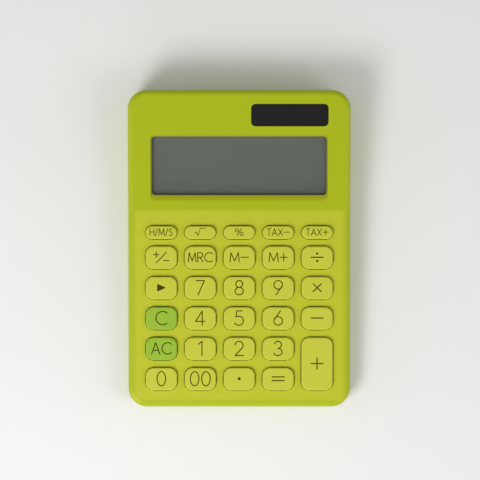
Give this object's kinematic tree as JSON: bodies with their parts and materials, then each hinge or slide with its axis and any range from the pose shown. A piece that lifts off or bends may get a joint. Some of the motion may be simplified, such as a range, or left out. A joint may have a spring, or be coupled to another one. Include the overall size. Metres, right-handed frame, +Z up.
{
  "type": "desk calculator",
  "caption": "Desk calculator: lime case with a sloping keypad, a raised display section with a solar window, separate press keys and rubber feet.",
  "frame": {"origin": "middle of the case from above, on the plane the rubber feet stand on", "axes": "+Z up, +Y towards the rear, where the display is, +X to the right for the person at the keys"},
  "size_m": [0.105, 0.1494, 0.0227],
  "materials": {
    "lime_plastic": "satin moulded lime plastic",
    "base_plastic": "fine-grained moulded lime plastic",
    "key_plastic": "satin pale lime plastic",
    "green_key_plastic": "satin green plastic",
    "black_tape": "thin black adhesive tape",
    "clear_window": "clear acrylic sheet",
    "display_film": "grey polarising film",
    "display_glass": "grey display glass",
    "inner_plastic": "plain moulded plastic",
    "ribbon_film": "thin pale film",
    "solar_plastic": "dark tinted acrylic",
    "solar_silicon": "dark coated glass",
    "lead_sheath": "soft red sheath",
    "mat_rubber": "grey moulded rubber",
    "board_laminate": "green laminate",
    "chip_resin": "black resin",
    "capacitor_can": "plain can",
    "cell_steel": "drawn steel",
    "contact_brass": "sprung sheet",
    "screw_steel": "plated steel",
    "foot_rubber": "matt dark rubber"
  },
  "bodies": {
    "case": {"upper_case": "lime_plastic", "lower_case": "base_plastic", "battery_cover": "base_plastic", "window_tape": "black_tape", "display_window": "clear_window", "lcd_front_film": "display_film", "lcd_panel": "display_glass", "lcd_rear_film": "display_film", "lcd_holder": "inner_plastic", "holder_screws": "screw_steel", "lcd_ribbon": "ribbon_film", "solar_window": "solar_plastic", "solar_cell": "solar_silicon", "solar_leads": "lead_sheath", "key_mat": "mat_rubber", "circuit_board": "board_laminate", "board_screws": "screw_steel", "chip_cover": "chip_resin", "capacitor": "capacitor_can", "button_cell": "cell_steel", "battery_contact_plus": "contact_brass", "battery_contact_minus": "contact_brass", "battery_leads": "lead_sheath", "battery_cover_screw": "screw_steel", "case_screws": "screw_steel", "rubber_feet": "foot_rubber"},
    "key_hms_cap": {"key_hms": "key_plastic"},
    "key_root_cap": {"key_root": "key_plastic"},
    "key_percent_cap": {"key_percent": "key_plastic"},
    "key_tax_minus_cap": {"key_tax_minus": "key_plastic"},
    "key_tax_plus_cap": {"key_tax_plus": "key_plastic"},
    "key_sign_cap": {"key_sign": "key_plastic"},
    "key_memory_recall_cap": {"key_memory_recall": "key_plastic"},
    "key_memory_minus_cap": {"key_memory_minus": "key_plastic"},
    "key_memory_plus_cap": {"key_memory_plus": "key_plastic"},
    "key_divide_cap": {"key_divide": "key_plastic"},
    "key_backspace_cap": {"key_backspace": "key_plastic"},
    "key_7_cap": {"key_7": "key_plastic"},
    "key_8_cap": {"key_8": "key_plastic"},
    "key_9_cap": {"key_9": "key_plastic"},
    "key_multiply_cap": {"key_multiply": "key_plastic"},
    "key_clear_cap": {"key_clear": "green_key_plastic"},
    "key_4_cap": {"key_4": "key_plastic"},
    "key_5_cap": {"key_5": "key_plastic"},
    "key_6_cap": {"key_6": "key_plastic"},
    "key_minus_cap": {"key_minus": "key_plastic"},
    "key_all_clear_cap": {"key_all_clear": "green_key_plastic"},
    "key_1_cap": {"key_1": "key_plastic"},
    "key_2_cap": {"key_2": "key_plastic"},
    "key_3_cap": {"key_3": "key_plastic"},
    "key_0_cap": {"key_0": "key_plastic"},
    "key_00_cap": {"key_00": "key_plastic"},
    "key_point_cap": {"key_point": "key_plastic"},
    "key_equals_cap": {"key_equals": "key_plastic"},
    "key_plus_cap": {"key_plus": "key_plastic"}
  },
  "joints": [
    {"name": "key_hms_press", "type": "slide", "parent": "case", "child": "key_hms_cap", "axis": [0, 0.0489, -0.9988], "range_m": [0, 0.0012], "stiffness_N_per_m": 400, "springref_m": -0.0005, "deforming": ["key_mat"]},
    {"name": "key_root_press", "type": "slide", "parent": "case", "child": "key_root_cap", "axis": [0, 0.0489, -0.9988], "range_m": [0, 0.0012], "stiffness_N_per_m": 400, "springref_m": -0.0005, "deforming": ["key_mat"]},
    {"name": "key_percent_press", "type": "slide", "parent": "case", "child": "key_percent_cap", "axis": [0, 0.0489, -0.9988], "range_m": [0, 0.0012], "stiffness_N_per_m": 400, "springref_m": -0.0005, "deforming": ["key_mat"]},
    {"name": "key_tax_minus_press", "type": "slide", "parent": "case", "child": "key_tax_minus_cap", "axis": [0, 0.0489, -0.9988], "range_m": [0, 0.0012], "stiffness_N_per_m": 400, "springref_m": -0.0005, "deforming": ["key_mat"]},
    {"name": "key_tax_plus_press", "type": "slide", "parent": "case", "child": "key_tax_plus_cap", "axis": [0, 0.0489, -0.9988], "range_m": [0, 0.0012], "stiffness_N_per_m": 400, "springref_m": -0.0005, "deforming": ["key_mat"]},
    {"name": "key_sign_press", "type": "slide", "parent": "case", "child": "key_sign_cap", "axis": [0, 0.0489, -0.9988], "range_m": [0, 0.0012], "stiffness_N_per_m": 400, "springref_m": -0.0005, "deforming": ["key_mat"]},
    {"name": "key_memory_recall_press", "type": "slide", "parent": "case", "child": "key_memory_recall_cap", "axis": [0, 0.0489, -0.9988], "range_m": [0, 0.0012], "stiffness_N_per_m": 400, "springref_m": -0.0005, "deforming": ["key_mat"]},
    {"name": "key_memory_minus_press", "type": "slide", "parent": "case", "child": "key_memory_minus_cap", "axis": [0, 0.0489, -0.9988], "range_m": [0, 0.0012], "stiffness_N_per_m": 400, "springref_m": -0.0005, "deforming": ["key_mat"]},
    {"name": "key_memory_plus_press", "type": "slide", "parent": "case", "child": "key_memory_plus_cap", "axis": [0, 0.0489, -0.9988], "range_m": [0, 0.0012], "stiffness_N_per_m": 400, "springref_m": -0.0005, "deforming": ["key_mat"]},
    {"name": "key_divide_press", "type": "slide", "parent": "case", "child": "key_divide_cap", "axis": [0, 0.0489, -0.9988], "range_m": [0, 0.0012], "stiffness_N_per_m": 400, "springref_m": -0.0005, "deforming": ["key_mat"]},
    {"name": "key_backspace_press", "type": "slide", "parent": "case", "child": "key_backspace_cap", "axis": [0, 0.0489, -0.9988], "range_m": [0, 0.0012], "stiffness_N_per_m": 400, "springref_m": -0.0005, "deforming": ["key_mat"]},
    {"name": "key_7_press", "type": "slide", "parent": "case", "child": "key_7_cap", "axis": [0, 0.0489, -0.9988], "range_m": [0, 0.0012], "stiffness_N_per_m": 400, "springref_m": -0.0005, "deforming": ["key_mat"]},
    {"name": "key_8_press", "type": "slide", "parent": "case", "child": "key_8_cap", "axis": [0, 0.0489, -0.9988], "range_m": [0, 0.0012], "stiffness_N_per_m": 400, "springref_m": -0.0005, "deforming": ["key_mat"]},
    {"name": "key_9_press", "type": "slide", "parent": "case", "child": "key_9_cap", "axis": [0, 0.0489, -0.9988], "range_m": [0, 0.0012], "stiffness_N_per_m": 400, "springref_m": -0.0005, "deforming": ["key_mat"]},
    {"name": "key_multiply_press", "type": "slide", "parent": "case", "child": "key_multiply_cap", "axis": [0, 0.0489, -0.9988], "range_m": [0, 0.0012], "stiffness_N_per_m": 400, "springref_m": -0.0005, "deforming": ["key_mat"]},
    {"name": "key_clear_press", "type": "slide", "parent": "case", "child": "key_clear_cap", "axis": [0, 0.0489, -0.9988], "range_m": [0, 0.0012], "stiffness_N_per_m": 400, "springref_m": -0.0005, "deforming": ["key_mat"]},
    {"name": "key_4_press", "type": "slide", "parent": "case", "child": "key_4_cap", "axis": [0, 0.0489, -0.9988], "range_m": [0, 0.0012], "stiffness_N_per_m": 400, "springref_m": -0.0005, "deforming": ["key_mat"]},
    {"name": "key_5_press", "type": "slide", "parent": "case", "child": "key_5_cap", "axis": [0, 0.0489, -0.9988], "range_m": [0, 0.0012], "stiffness_N_per_m": 400, "springref_m": -0.0005, "deforming": ["key_mat"]},
    {"name": "key_6_press", "type": "slide", "parent": "case", "child": "key_6_cap", "axis": [0, 0.0489, -0.9988], "range_m": [0, 0.0012], "stiffness_N_per_m": 400, "springref_m": -0.0005, "deforming": ["key_mat"]},
    {"name": "key_minus_press", "type": "slide", "parent": "case", "child": "key_minus_cap", "axis": [0, 0.0489, -0.9988], "range_m": [0, 0.0012], "stiffness_N_per_m": 400, "springref_m": -0.0005, "deforming": ["key_mat"]},
    {"name": "key_all_clear_press", "type": "slide", "parent": "case", "child": "key_all_clear_cap", "axis": [0, 0.0489, -0.9988], "range_m": [0, 0.0012], "stiffness_N_per_m": 400, "springref_m": -0.0005, "deforming": ["key_mat"]},
    {"name": "key_1_press", "type": "slide", "parent": "case", "child": "key_1_cap", "axis": [0, 0.0489, -0.9988], "range_m": [0, 0.0012], "stiffness_N_per_m": 400, "springref_m": -0.0005, "deforming": ["key_mat"]},
    {"name": "key_2_press", "type": "slide", "parent": "case", "child": "key_2_cap", "axis": [0, 0.0489, -0.9988], "range_m": [0, 0.0012], "stiffness_N_per_m": 400, "springref_m": -0.0005, "deforming": ["key_mat"]},
    {"name": "key_3_press", "type": "slide", "parent": "case", "child": "key_3_cap", "axis": [0, 0.0489, -0.9988], "range_m": [0, 0.0012], "stiffness_N_per_m": 400, "springref_m": -0.0005, "deforming": ["key_mat"]},
    {"name": "key_0_press", "type": "slide", "parent": "case", "child": "key_0_cap", "axis": [0, 0.0489, -0.9988], "range_m": [0, 0.0012], "stiffness_N_per_m": 400, "springref_m": -0.0005, "deforming": ["key_mat"]},
    {"name": "key_00_press", "type": "slide", "parent": "case", "child": "key_00_cap", "axis": [0, 0.0489, -0.9988], "range_m": [0, 0.0012], "stiffness_N_per_m": 400, "springref_m": -0.0005, "deforming": ["key_mat"]},
    {"name": "key_point_press", "type": "slide", "parent": "case", "child": "key_point_cap", "axis": [0, 0.0489, -0.9988], "range_m": [0, 0.0012], "stiffness_N_per_m": 400, "springref_m": -0.0005, "deforming": ["key_mat"]},
    {"name": "key_equals_press", "type": "slide", "parent": "case", "child": "key_equals_cap", "axis": [0, 0.0489, -0.9988], "range_m": [0, 0.0012], "stiffness_N_per_m": 400, "springref_m": -0.0005, "deforming": ["key_mat"]},
    {"name": "key_plus_press", "type": "slide", "parent": "case", "child": "key_plus_cap", "axis": [0, 0.0489, -0.9988], "range_m": [0, 0.0012], "stiffness_N_per_m": 400, "springref_m": -0.0005, "deforming": ["key_mat"]}
  ]
}
